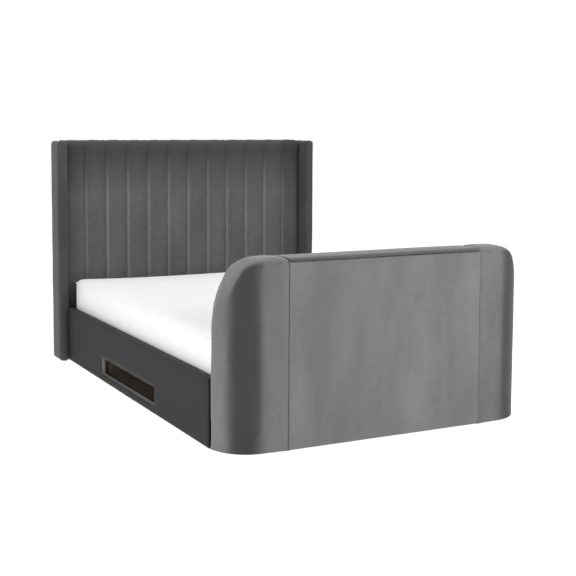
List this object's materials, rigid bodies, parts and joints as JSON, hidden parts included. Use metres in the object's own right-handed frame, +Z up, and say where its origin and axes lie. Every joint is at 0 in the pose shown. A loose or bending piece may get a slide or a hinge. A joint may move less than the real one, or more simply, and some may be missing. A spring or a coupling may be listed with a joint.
{
  "type": "upholstered television bed",
  "caption": "Winged, channel-padded upholstered double bed with open media pockets in its rails and a television lift in its round-cornered footboard.",
  "frame": {"origin": "on the floor, under the middle of the bed's bounding box", "axes": "+Y runs from the footboard to the headboard, +X to the right seen from the foot, +Z up"},
  "size_m": [1.54, 2.165, 1.18],
  "materials": {
    "velvet": "short-pile dark grey upholstery velvet over foam",
    "timber": "planed softwood",
    "beech_ply": "laminated beech slat",
    "plywood": "thin plywood",
    "board": "engineered wood board",
    "dark_board": "dark brown foil-faced board",
    "zinc_steel": "zinc-plated",
    "black_steel": "satin black powder coat",
    "black_plastic": "moulded, fine matt",
    "lining": "non-woven black lining",
    "ticking": "white knitted mattress ticking"
  },
  "bodies": {
    "bed": {"centre_beam": "timber", "centre_legs": "timber", "control_box": "black_plastic", "foot_base_board": "board", "foot_end_cover_left": "velvet", "foot_end_cover_right": "velvet", "foot_end_panels": "board", "foot_end_shell_left": "plywood", "foot_end_shell_right": "plywood", "foot_front_board": "board", "foot_front_cover": "velvet", "foot_inner_board": "plywood", "foot_inner_cover": "velvet", "frame_bolts": "zinc_steel", "glides": "black_plastic", "headboard_back_lining": "lining", "headboard_board": "plywood", "headboard_channel_01": "velvet", "headboard_channel_02": "velvet", "headboard_channel_03": "velvet", "headboard_channel_04": "velvet", "headboard_channel_05": "velvet", "headboard_channel_06": "velvet", "headboard_channel_07": "velvet", "headboard_channel_08": "velvet", "headboard_channel_09": "velvet", "headboard_channel_10": "velvet", "headboard_channel_11": "velvet", "headboard_channel_12": "velvet", "headboard_cross_rails": "timber", "headboard_lower_pad": "velvet", "headboard_posts": "timber", "lift_column": "black_steel", "lift_motor": "black_plastic", "mattress": "ticking", "media_box_left": "dark_board", "media_box_right": "dark_board", "media_box_screws": "zinc_steel", "rail_board_left": "board", "rail_board_right": "board", "rail_brackets": "black_steel", "rail_cover_left": "velvet", "rail_cover_right": "velvet", "slat_caps": "black_plastic", "slat_ledge_left": "timber", "slat_ledge_right": "timber", "slats_left": "beech_ply", "slats_right": "beech_ply", "wing_core_left": "board", "wing_core_right": "board", "wing_cover_left": "velvet", "wing_cover_right": "velvet"},
    "lift_carriage": {"lift_mast": "black_steel", "lift_nut": "zinc_steel", "tv_crossbar": "black_steel", "tv_arms": "black_steel", "lid_brackets": "black_steel", "lid_board": "board", "lid_cover": "velvet"},
    "screw": {"lift_screw": "zinc_steel"}
  },
  "joints": [
    {"name": "lift_raise", "type": "slide", "parent": "bed", "child": "lift_carriage", "axis": [0, 0, 1], "range_m": [0, 0.52]},
    {"name": "screw_turn", "type": "hinge", "parent": "bed", "child": "screw", "pos_m": [0, -1.0335, 0.3], "axis": [0, 0, 1], "range_deg": [0, 9361]}
  ],
  "couplings": [
    {"joint": "screw_turn", "follows": "lift_raise", "rad_per_m": 314.16}
  ]
}
